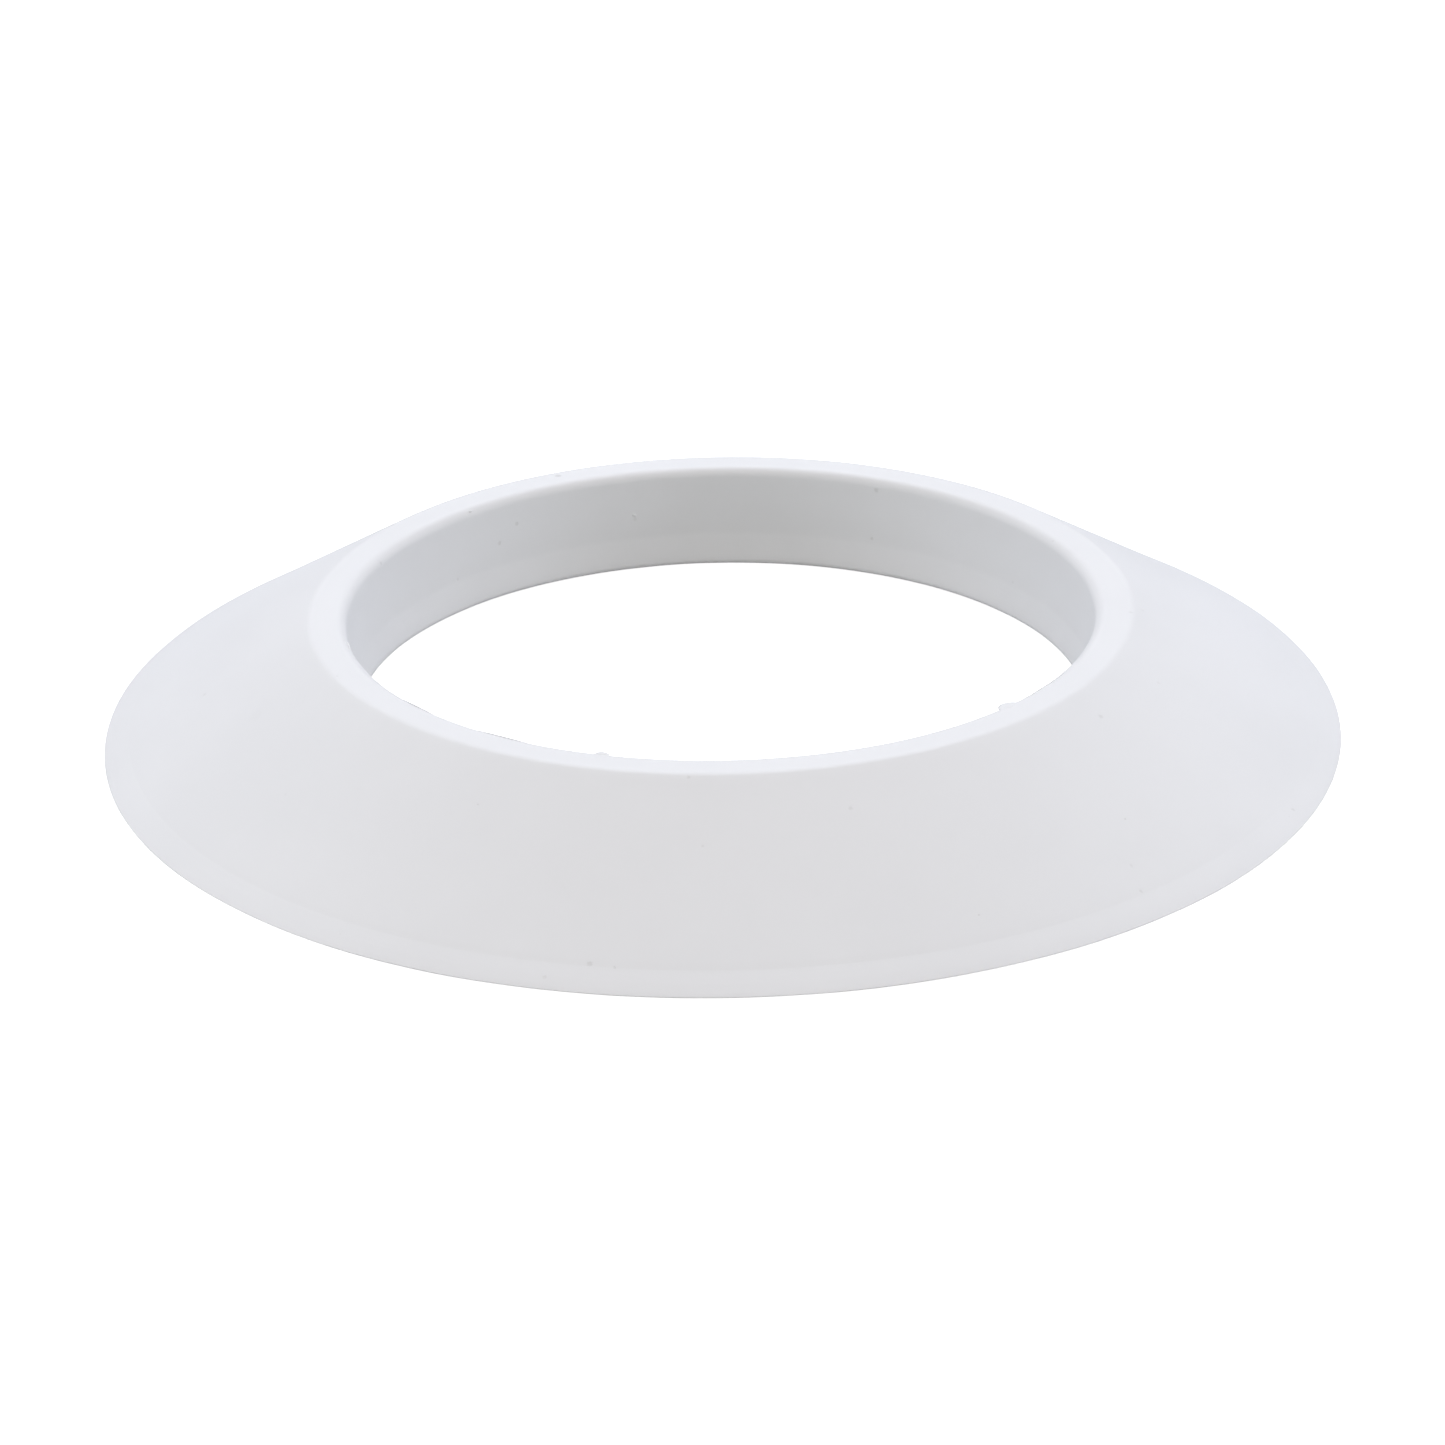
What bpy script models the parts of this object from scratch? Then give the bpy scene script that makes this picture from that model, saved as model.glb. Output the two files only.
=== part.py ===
"""A toilet flange: the white conical collar that covers the gap round a toilet's soil pipe.

It is one soft moulding, turned about the pipe's axis. A tapered neck grips the pipe, a flat land
joins it to a cone, and the cone runs out to a thin lip that seats on the floor or the wall. The
back is hollow. Z is the pipe's axis, and the seat lies on z = 0.
"""

from math import pi, radians, tan

import bmesh
import bpy
from mathutils import Vector

# Overall sizes, in metres
PIPE_RADIUS = 0.0550  # the 110 mm soil pipe that it fits
BASE_RADIUS = 0.0900
HEIGHT = 0.0180

# The neck, which is smaller than the pipe so that it grips
MOUTH_GRIP = 0.0008  # how much smaller its mouth is than the pipe, in radius
NECK_DRAFT = 0.0006  # how much it narrows from the mouth to where the grip lip starts
LIP_GRIP = 0.0024  # how much smaller the grip lip's end is than the pipe, in radius
GRIP_LIP_LENGTH = 0.0049
NECK_TIP_CLEARANCE = 0.0026  # from the seat up to the neck's end
NECK_ROOT_WALL = 0.0032
NECK_TIP_WALL = 0.0020

# The land and the cone
LAND_WIDTH = 0.0054
LAND_WALL = 0.0030
CONE_WALL = 0.0026

# The lip at the foot of the cone
SEAT_LIP_WIDTH = 0.00365
SEAT_LIP_SLOPE = radians(28)
SEAT_LIP_EDGE = 0.0005

# Roundings
MOUTH_ROUND = 0.0018
LAND_ROUND = 0.0016
NECK_BEND = 0.0100
NECK_TIP_ROUND = 0.0007
CAVITY_ROUND = 0.0015
EDGE_ROUND = 0.0004
ARC_SHARE = 0.48  # of a side that the arc at one of its ends may take

# How finely it is faceted, and from what angle an edge shades as sharp
SEGMENTS = 96
ARC_STEP = radians(22)
SHARP_ANGLE = radians(35)

SOFT_WHITE = (0.86, 0.87, 0.90, 1.0)


def clear_scene():
    for obj in list(bpy.data.objects):
        bpy.data.objects.remove(obj)


def soft_white_material():
    material = bpy.data.materials.new("soft_white")
    material.use_nodes = True
    shader = material.node_tree.nodes["Principled BSDF"]
    shader.inputs["Base Color"].default_value = SOFT_WHITE
    shader.inputs["Roughness"].default_value = 0.6
    shader.inputs["Metallic"].default_value = 0.0
    return material


def outline_corners():
    """The cross-section's corners as (radius, height, rounding), anticlockwise from the seat."""
    mouth_radius = PIPE_RADIUS - MOUTH_GRIP
    bend_radius = mouth_radius - NECK_DRAFT
    tip_radius = PIPE_RADIUS - LIP_GRIP
    bend_height = NECK_TIP_CLEARANCE + GRIP_LIP_LENGTH
    land_radius = mouth_radius + LAND_WIDTH

    crease_radius = BASE_RADIUS - SEAT_LIP_WIDTH
    crease_height = SEAT_LIP_EDGE + SEAT_LIP_WIDTH * tan(SEAT_LIP_SLOPE)
    cone_run = Vector((crease_radius - land_radius, HEIGHT - crease_height))
    cone_fall = cone_run.y / cone_run.x
    wall_drop = CONE_WALL * cone_run.length / cone_run.x

    def radius_under_cone(height):
        """Where the cone's inner face reaches a height."""
        return land_radius + (HEIGHT - wall_drop - height) / cone_fall

    roof_height = HEIGHT - LAND_WALL
    return [
        (radius_under_cone(0.0), 0.0, EDGE_ROUND),
        (BASE_RADIUS, 0.0, EDGE_ROUND),
        (BASE_RADIUS, SEAT_LIP_EDGE, EDGE_ROUND),
        (crease_radius, crease_height, EDGE_ROUND),
        (land_radius, HEIGHT, LAND_ROUND),
        (mouth_radius, HEIGHT, MOUTH_ROUND),
        (bend_radius, bend_height, NECK_BEND),
        (tip_radius, NECK_TIP_CLEARANCE, NECK_TIP_ROUND),
        (tip_radius + NECK_TIP_WALL, NECK_TIP_CLEARANCE, NECK_TIP_ROUND),
        (mouth_radius + NECK_ROOT_WALL, roof_height, CAVITY_ROUND),
        (radius_under_cone(roof_height), roof_height, CAVITY_ROUND),
    ]


def rounded_corner(before, corner, after, rounding):
    """Points of the arc that rounds a corner, which takes at most ARC_SHARE of each side."""
    back, ahead = before - corner, after - corner
    half_angle = back.angle(ahead) / 2
    room = ARC_SHARE * min(back.length, ahead.length)
    reach = min(rounding / tan(half_angle), room)
    radius = reach * tan(half_angle)
    bisector = (back.normalized() + ahead.normalized()).normalized()
    centre = corner + bisector * (radius**2 + reach**2) ** 0.5
    start = corner + back.normalized() * reach - centre
    end = corner + ahead.normalized() * reach - centre
    steps = max(1, round((pi - 2 * half_angle) / ARC_STEP))
    return [centre + start.slerp(end, i / steps) * radius for i in range(steps + 1)]


def cross_section():
    """The closed outline's points, as (radius, height) vectors."""
    corners = [(Vector((radius, height)), rounding) for radius, height, rounding in outline_corners()]
    points = []
    for i, (corner, rounding) in enumerate(corners):
        before = corners[i - 1][0]
        after = corners[(i + 1) % len(corners)][0]
        points += rounded_corner(before, corner, after, rounding)
    return points


def turned_solid(name, outline):
    """The outline spun once round the Z axis."""
    shape = bmesh.new()
    verts = [shape.verts.new((point.x, 0.0, point.y)) for point in outline]
    edges = [shape.edges.new((verts[i - 1], verts[i])) for i in range(len(verts))]
    bmesh.ops.spin(
        shape,
        geom=verts + edges,
        cent=(0.0, 0.0, 0.0),
        axis=(0.0, 0.0, 1.0),
        angle=2 * pi,
        steps=SEGMENTS,
        use_merge=True,
    )
    bmesh.ops.recalc_face_normals(shape, faces=shape.faces)
    mesh = bpy.data.meshes.new(name)
    shape.to_mesh(mesh)
    shape.free()
    return mesh


def build_flange_collar():
    mesh = turned_solid("flange_collar", cross_section())
    mesh.shade_smooth()
    mesh.set_sharp_from_angle(angle=SHARP_ANGLE)
    mesh.materials.append(soft_white_material())
    collar = bpy.data.objects.new("flange_collar", mesh)
    bpy.context.scene.collection.objects.link(collar)
    return collar


clear_scene()
build_flange_collar()
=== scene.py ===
"""The looks of a toilet flange: a soft white conical collar that hides the gap round a soil pipe.

The collar is one moulding. Its body is an outline with rounded corners, turned about the pipe's
axis and then given what a soft moulding has: a wavy lip, a little sag, slivers of flash at the
mouth, and small pimples and dents. Lengths are in metres, and the seat lies on z = 0.
"""

from __future__ import annotations

import logging
import math
from dataclasses import dataclass, field
from enum import Enum

import bpy
from mathutils import Matrix, Vector


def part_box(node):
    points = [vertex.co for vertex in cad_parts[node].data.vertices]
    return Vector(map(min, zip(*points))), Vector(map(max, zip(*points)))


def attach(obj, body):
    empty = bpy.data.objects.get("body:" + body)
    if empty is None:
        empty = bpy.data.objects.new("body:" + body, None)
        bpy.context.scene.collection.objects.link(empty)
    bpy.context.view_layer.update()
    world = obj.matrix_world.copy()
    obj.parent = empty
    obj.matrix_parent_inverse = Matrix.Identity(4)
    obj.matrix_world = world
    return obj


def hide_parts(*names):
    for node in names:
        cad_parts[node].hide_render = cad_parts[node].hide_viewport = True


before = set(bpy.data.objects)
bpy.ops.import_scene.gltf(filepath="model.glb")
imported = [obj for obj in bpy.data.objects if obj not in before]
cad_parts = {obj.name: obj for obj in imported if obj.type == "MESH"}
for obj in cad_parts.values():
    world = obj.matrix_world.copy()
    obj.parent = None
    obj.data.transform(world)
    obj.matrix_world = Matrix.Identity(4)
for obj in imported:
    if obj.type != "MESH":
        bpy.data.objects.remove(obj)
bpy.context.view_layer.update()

log = logging.getLogger("toilet_flange")

MM = 0.001
NODE = "flange_collar"
BODY = "root"


# --- Building node trees ---


class NodeBuilder:
    """Adds nodes to one tree and wires them up."""

    def __init__(self, tree: bpy.types.NodeTree) -> None:
        """Works on a tree.

        Args:
            tree: the geometry or shader tree that the nodes are added to.
        """
        self.tree = tree

    def add(self, kind: str, *values: object, **settings: object) -> bpy.types.Node:
        """Adds one node.

        Args:
            kind: the node's type name.
            *values: what its first inputs take, in order: a socket to link, a constant, or None.
            **settings: properties of the node, or its inputs by name with "in_" before them.

        Returns:
            The new node.
        """
        node = self.tree.nodes.new(kind)
        inputs: dict[object, object] = dict(enumerate(values))
        for name, value in settings.items():
            if name.startswith("in_"):
                inputs[name[3:].replace("_", " ")] = value
            else:
                setattr(node, name, value)
        for key, value in inputs.items():
            if value is not None:
                self.feed(node.inputs[key], value)
        return node

    def feed(self, socket: bpy.types.NodeSocket, value: object) -> None:
        """Links a socket to an input, or sets the input to a constant.

        Args:
            socket: the input.
            value: a socket, or a constant.
        """
        if isinstance(value, bpy.types.NodeSocket):
            self.tree.links.new(value, socket)
        else:
            socket.default_value = value

    def math(self, operation: str, *values: object, clamp: bool = False) -> bpy.types.NodeSocket:
        """Adds a Math node.

        Args:
            operation: such as "MULTIPLY".
            *values: sockets or numbers.
            clamp: whether the result is held between 0 and 1.

        Returns:
            Its result.
        """
        return self.add("ShaderNodeMath", *values, operation=operation, use_clamp=clamp).outputs[0]

    def vector(self, operation: str, *values: object) -> bpy.types.NodeSocket:
        """Adds a Vector Math node that gives a vector.

        Args:
            operation: such as "NORMALIZE".
            *values: sockets or vectors.

        Returns:
            The resulting vector.
        """
        return self.add("ShaderNodeVectorMath", *values, operation=operation).outputs["Vector"]

    def scaled(self, vector: object, factor: object) -> bpy.types.NodeSocket:
        """Multiplies a vector by a number."""
        node = self.add("ShaderNodeVectorMath", vector, operation="SCALE", in_Scale=factor)
        return node.outputs["Vector"]

    def length(self, vector: object) -> bpy.types.NodeSocket:
        """Gives a vector's length."""
        return self.add("ShaderNodeVectorMath", vector, operation="LENGTH").outputs["Value"]

    def split(self, vector: object) -> tuple[bpy.types.NodeSocket, ...]:
        """Splits a vector into X, Y and Z."""
        return tuple(self.add("ShaderNodeSeparateXYZ", vector).outputs)

    def join(self, x: object, y: object, z: object) -> bpy.types.NodeSocket:
        """Joins X, Y and Z into a vector."""
        return self.add("ShaderNodeCombineXYZ", x, y, z).outputs[0]

    def ramp(self, value: object, low: float, high: float, start: object = 0.0, end: object = 1.0,
             smooth: bool = True) -> bpy.types.NodeSocket:
        """Maps one range to another and holds the ends.

        Args:
            value: what is mapped.
            low: the value that gives start.
            high: the value that gives end.
            start: the result at low.
            end: the result at high.
            smooth: whether the change is eased at both ends.

        Returns:
            The mapped value.
        """
        kind = "SMOOTHSTEP" if smooth else "LINEAR"
        return self.add("ShaderNodeMapRange", value, low, high, start, end,
                        interpolation_type=kind).outputs["Result"]

    def mix(self, share: object, start: object, end: object) -> bpy.types.NodeSocket:
        """Mixes two colours.

        Args:
            share: how much of the second colour there is, from 0 to 1.
            start: the first colour.
            end: the second colour.

        Returns:
            The mixed colour.
        """
        node = self.add("ShaderNodeMix", data_type="RGBA", blend_type="MIX")
        for name, value in (("Factor", share), ("A", start), ("B", end)):
            self.feed(node.inputs[name], value)
        return node.outputs["Result"]

    def noise(self, vector: object, scale: object, detail: object = 2.0) -> bpy.types.NodeSocket:
        """Adds a noise texture.

        Args:
            vector: where it is read.
            scale: features per metre.
            detail: how many octaves.

        Returns:
            Its value, about 0.5 in the middle.
        """
        return self.add("ShaderNodeTexNoise", vector, in_Scale=scale, in_Detail=detail).outputs[0]

    def named(self, title: str, kind: str = "FLOAT") -> bpy.types.NodeSocket:
        """Reads a named attribute of the geometry."""
        return self.add("GeometryNodeInputNamedAttribute", title, data_type=kind).outputs[0]

    def shift(self, geometry: object, offset: object) -> bpy.types.NodeSocket:
        """Moves a geometry's points by an offset."""
        return self.add("GeometryNodeSetPosition", geometry, in_Offset=offset).outputs[0]


def new_tree(
    name: str, kind: str, inputs: dict[str, tuple[str, object]], outputs: dict[str, str],
) -> tuple[NodeBuilder, dict[str, bpy.types.NodeSocket], bpy.types.Node]:
    """Starts a node group with named inputs and outputs.

    Args:
        name: the group's name.
        kind: "GeometryNodeTree" or "ShaderNodeTree".
        inputs: name to (socket type, default); a default of None leaves the socket's own.
        outputs: name to socket type.

    Returns:
        The builder, the group's inputs by name, and the output node.
    """
    tree = bpy.data.node_groups.new(name, kind)
    for title, (socket_type, default) in inputs.items():
        socket = tree.interface.new_socket(name=title, in_out="INPUT", socket_type=socket_type)
        if default is not None:
            socket.default_value = default
    for title, socket_type in outputs.items():
        tree.interface.new_socket(name=title, in_out="OUTPUT", socket_type=socket_type)
    given = tree.nodes.new("NodeGroupInput")
    sockets = {title: given.outputs[title] for title in inputs}
    return NodeBuilder(tree), sockets, tree.nodes.new("NodeGroupOutput")


def placed(name: str, data: bpy.types.ID) -> bpy.types.Object:
    """Puts a mesh, a light or a camera into the scene.

    Args:
        name: the object's name.
        data: what it shows.

    Returns:
        The new object, at the origin.
    """
    obj = bpy.data.objects.new(name, data)
    bpy.context.scene.collection.objects.link(obj)
    return obj


def mesh_through(obj: bpy.types.Object, name: str, tree: bpy.types.NodeTree,
                 values: dict[str, object]) -> bpy.types.Mesh:
    """Runs an object through a geometry tree and returns the plain mesh that comes out.

    Args:
        obj: the object, whose mesh is the tree's first input.
        name: the new mesh's name.
        tree: the geometry tree.
        values: the tree's inputs by name.

    Returns:
        The evaluated mesh. The modifier is removed from the object again.
    """
    modifier = obj.modifiers.new(tree.name, "NODES")
    modifier.node_group = tree
    for item in tree.interface.items_tree:
        if item.item_type == "SOCKET" and item.in_out == "INPUT" and item.name in values:
            modifier[item.identifier] = values[item.name]
    evaluated = obj.evaluated_get(bpy.context.evaluated_depsgraph_get())
    mesh = bpy.data.meshes.new_from_object(evaluated)
    mesh.name = name
    obj.modifiers.remove(modifier)
    return mesh


# --- Finishes ---


class Texture(Enum):
    """How the mould's wall was finished, with how many octaves of grain that leaves."""

    SATIN = 3.0
    SPARK_ERODED = 6.0


@dataclass(frozen=True)
class MouldedRubber:
    """A soft white rubber finish, as one kind of mould wall leaves it.

    Args:
        name: the material's name.
        texture: the mould wall's finish.
        colour: the linear base colour.
        roughness: the mean roughness.
        grain_size: the spacing of the finest grain, in metres.
        grain_depth: how deep that grain is, in metres.
        ring_pitch: the spacing of the turning marks round the axis, in metres.
        ring_depth: how deep they are, in metres.
        pit_share: the share of cells in the pit pattern that hold a pit, from 0 to 1.
    """

    name: str
    texture: Texture
    colour: tuple[float, float, float]
    roughness: float
    grain_size: float
    grain_depth: float
    ring_pitch: float
    ring_depth: float
    pit_share: float


@dataclass(frozen=True)
class Speck:
    """A speck at a known place on the skin: dirt, a pit or a pimple. Its dark tone is dirt on some,
    and painted shade in the dents and just under the bore's pimples.

    Args:
        azimuth: where it is round the axis, in degrees from +X.
        radius: its distance from the axis.
        height: its height above the seat.
        size: its own radius.
        tone: how dark it is, from 0 to 1.
        rise: how far it stands out of the skin, or below 0, how deep it is.
    """

    azimuth: float
    radius: float
    height: float
    size: float
    tone: float
    rise: float = -0.03 * MM

    def place(self) -> tuple[float, float, float]:
        """Gives its centre."""
        angle = math.radians(self.azimuth)
        return (self.radius * math.cos(angle), self.radius * math.sin(angle), self.height)


SHOW_FACE = MouldedRubber(
    name="soft_white_satin",
    texture=Texture.SATIN,
    colour=(0.762, 0.767, 0.780),
    roughness=0.62,
    grain_size=0.45 * MM,
    grain_depth=0.006 * MM,
    ring_pitch=0.55 * MM,
    ring_depth=0.0012 * MM,
    pit_share=0.05,
)
HIDDEN_FACE = MouldedRubber(
    name="soft_white_spark_eroded",
    texture=Texture.SPARK_ERODED,
    colour=(0.750, 0.754, 0.764),
    roughness=0.74,
    grain_size=0.70 * MM,
    grain_depth=0.022 * MM,
    ring_pitch=1.20 * MM,
    ring_depth=0.004 * MM,
    pit_share=0.09,
)

# How the shared effects vary
MOTTLE_SHARE = 0.02  # the mottle's frequency, as a share of the grain's
MOTTLE_OCTAVES = 3.0
RING_FADE_SCALE = 400.0
RING_FADE_RANGE = (0.35, 0.65)
PIT_SOFTNESS = 0.6
SMALLEST_PIT = 0.45  # as a share of the largest
SPECK_RAGGEDNESS = 0.30 * MM
SPECK_RAGGED_SCALE = 2500.0
SPECK_CORE = 0.35  # the share of a speck's radius within which it is full

# How they tint and roughen the skin
MOTTLE_RANGE = (0.3, 0.7)
MOTTLE_TINTS = (0.990, 1.008)
MOTTLE_ROUGHNESS = 0.04
# Painted shade: the colour darkens along the outline's edges and in its creases, where the outline
# bends.
EDGE_SHADE = 0.97
EDGE_SHADE_SHARE = 0.35
EDGE_POLISH = 0.08
# Painted shade: each pit is darkened towards the dark grey below, by this share.
PIT_SHADE = 0.30
# The dark grey of the dirt specks, and of the painted shade in pits, in dents and under pimples.
DIRT_AND_SHADE_COLOUR = (0.42, 0.41, 0.40, 1.0)


# Some specks are dirt. In the dents, and just under the two pimples in the bore, their darkness is
# painted shade.
SPECKS = (
    # in the bore
    Speck(125.4, 54.0 * MM, 13.5 * MM, 0.45 * MM, 0.24),
    Speck(158.6, 54.3 * MM, 17.0 * MM, 0.45 * MM, 0.18),
    Speck(63.2, 54.2 * MM, 16.4 * MM, 0.52 * MM, 0.26),
    Speck(129.0, 53.9 * MM, 11.2 * MM, 0.48 * MM, 0.22),
    Speck(138.5, 53.7 * MM, 7.9 * MM, 0.35 * MM, 0.10),
    Speck(34.0, 53.7 * MM, 8.0 * MM, 0.35 * MM, 0.10),
    Speck(104.1, 53.9 * MM, 10.7 * MM, 0.45 * MM, 0.14),
    Speck(63.8, 53.8 * MM, 8.4 * MM, 0.42 * MM, 0.34),
    # on the land and its edges
    Speck(115.4, 58.0 * MM, 18.0 * MM, 0.70 * MM, 0.36),
    Speck(24.3, 54.6 * MM, 17.8 * MM, 0.40 * MM, 0.16),
    Speck(354.0, 59.3 * MM, 17.9 * MM, 0.45 * MM, 0.16),
    Speck(356.6, 61.0 * MM, 17.2 * MM, 0.35 * MM, 0.12),
    # on the cone and the lip
    Speck(265.6, 60.0 * MM, 17.6 * MM, 0.45 * MM, 0.24),
    Speck(267.6, 69.6 * MM, 12.2 * MM, 0.30 * MM, 0.16),
    Speck(284.8, 65.7 * MM, 14.5 * MM, 0.42 * MM, 0.18),
    Speck(324.5, 64.0 * MM, 15.5 * MM, 0.50 * MM, 0.20),
    Speck(339.0, 65.7 * MM, 14.5 * MM, 0.35 * MM, 0.12),
    Speck(187.0, 75.1 * MM, 9.0 * MM, 0.50 * MM, 0.16),
    Speck(200.0, 69.9 * MM, 12.0 * MM, 1.60 * MM, 0.03, 0.0),
    Speck(310.1, 85.8 * MM, 2.5 * MM, 0.38 * MM, 0.16),
    Speck(311.2, 82.4 * MM, 4.5 * MM, 0.38 * MM, 0.14),
    Speck(260.3, 86.3 * MM, 2.5 * MM, 0.32 * MM, 0.16),
    Speck(334.0, 87.8 * MM, 1.45 * MM, 0.40 * MM, 0.18),
    Speck(258.1, 86.0 * MM, 2.6 * MM, 0.50 * MM, 0.20),
    Speck(254.5, 88.4 * MM, 1.3 * MM, 0.40 * MM, 0.14),
)


def grain_group() -> bpy.types.NodeTree:
    """Builds the fine grain that a mould wall leaves, as a height and a mottle from 0 to 1."""
    build, given, out = new_tree(
        "mould_grain", "ShaderNodeTree",
        {"Vector": ("NodeSocketVector", None), "Size": ("NodeSocketFloat", 0.5 * MM),
         "Depth": ("NodeSocketFloat", 0.01 * MM), "Octaves": ("NodeSocketFloat", 3.0)},
        {"Height": "NodeSocketFloat", "Mottle": "NodeSocketFloat"},
    )
    frequency = build.math("DIVIDE", 1.0, given["Size"])
    fine = build.noise(given["Vector"], frequency, detail=given["Octaves"])
    slow = build.math("MULTIPLY", frequency, MOTTLE_SHARE)
    broad = build.noise(given["Vector"], slow, detail=MOTTLE_OCTAVES)
    build.feed(out.inputs["Height"], build.math("MULTIPLY", fine, given["Depth"]))
    build.feed(out.inputs["Mottle"], broad)
    return build.tree


def turning_marks_group() -> bpy.types.NodeTree:
    """Builds the faint rings that the turned mould leaves round the axis, as a height."""
    build, given, out = new_tree(
        "turning_marks", "ShaderNodeTree",
        {"Vector": ("NodeSocketVector", None), "Pitch": ("NodeSocketFloat", 0.5 * MM),
         "Depth": ("NodeSocketFloat", 0.001 * MM)},
        {"Height": "NodeSocketFloat"},
    )
    x, y, z = build.split(given["Vector"])
    radius = build.length(build.join(x, y, 0.0))
    along = build.math("ADD", radius, z)
    turns = build.math("DIVIDE", build.math("MULTIPLY", along, 2 * math.pi), given["Pitch"])
    wave = build.math("SINE", turns)
    fading = build.noise(build.join(along, 0.0, 0.0), RING_FADE_SCALE)
    depth = build.math("MULTIPLY", given["Depth"], build.ramp(fading, *RING_FADE_RANGE))
    build.feed(out.inputs["Height"], build.math("MULTIPLY", wave, depth))
    return build.tree


def pits_group() -> bpy.types.NodeTree:
    """Builds scattered pits, as a mask that is 1 in the middle of each, and a depth to match."""
    build, given, out = new_tree(
        "moulding_pits", "ShaderNodeTree",
        {"Vector": ("NodeSocketVector", None), "Spacing": ("NodeSocketFloat", 3.0 * MM),
         "Share": ("NodeSocketFloat", 0.05), "Radius": ("NodeSocketFloat", 0.22 * MM),
         "Depth": ("NodeSocketFloat", 0.05 * MM)},
        {"Mask": "NodeSocketFloat", "Height": "NodeSocketFloat"},
    )
    cells = build.add("ShaderNodeTexVoronoi", given["Vector"], voronoi_dimensions="3D",
                      in_Scale=build.math("DIVIDE", 1.0, given["Spacing"]))
    chosen_one, size_one, _ = build.split(cells.outputs["Color"])
    present = build.math("LESS_THAN", chosen_one, given["Share"])
    distance = build.math("MULTIPLY", cells.outputs["Distance"], given["Spacing"])
    size = build.ramp(size_one, 0.0, 1.0, SMALLEST_PIT, 1.0, smooth=False)
    radius = build.math("MULTIPLY", given["Radius"], size)
    inside = build.math("SUBTRACT", 1.0, build.math("DIVIDE", distance, radius), clamp=True)
    mask = build.math("MULTIPLY", build.math("POWER", inside, PIT_SOFTNESS), present)
    sunk = build.math("MULTIPLY", given["Depth"], -1.0)
    build.feed(out.inputs["Mask"], mask)
    build.feed(out.inputs["Height"], build.math("MULTIPLY", mask, sunk))
    return build.tree


def speck_group() -> bpy.types.NodeTree:
    """Builds one speck at a given place, as a mask and as the height of its pit or pimple."""
    build, given, out = new_tree(
        "placed_speck", "ShaderNodeTree",
        {"Vector": ("NodeSocketVector", None), "Place": ("NodeSocketVector", None),
         "Radius": ("NodeSocketFloat", 0.3 * MM), "Tone": ("NodeSocketFloat", 0.2),
         "Rise": ("NodeSocketFloat", 0.0)},
        {"Mask": "NodeSocketFloat", "Height": "NodeSocketFloat"},
    )
    ragged = build.add("ShaderNodeTexNoise", given["Vector"], in_Scale=SPECK_RAGGED_SCALE,
                       in_Detail=1.0).outputs["Color"]
    jitter = build.scaled(build.vector("SUBTRACT", ragged, (0.5, 0.5, 0.5)), SPECK_RAGGEDNESS)
    shaken = build.vector("ADD", given["Vector"], jitter)
    away = build.length(build.vector("SUBTRACT", shaken, given["Place"]))
    inside = build.ramp(build.math("DIVIDE", away, given["Radius"]), SPECK_CORE, 1.0, 1.0, 0.0)
    build.feed(out.inputs["Mask"], build.math("MULTIPLY", inside, given["Tone"]))
    build.feed(out.inputs["Height"], build.math("MULTIPLY", inside, given["Rise"]))
    return build.tree


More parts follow.
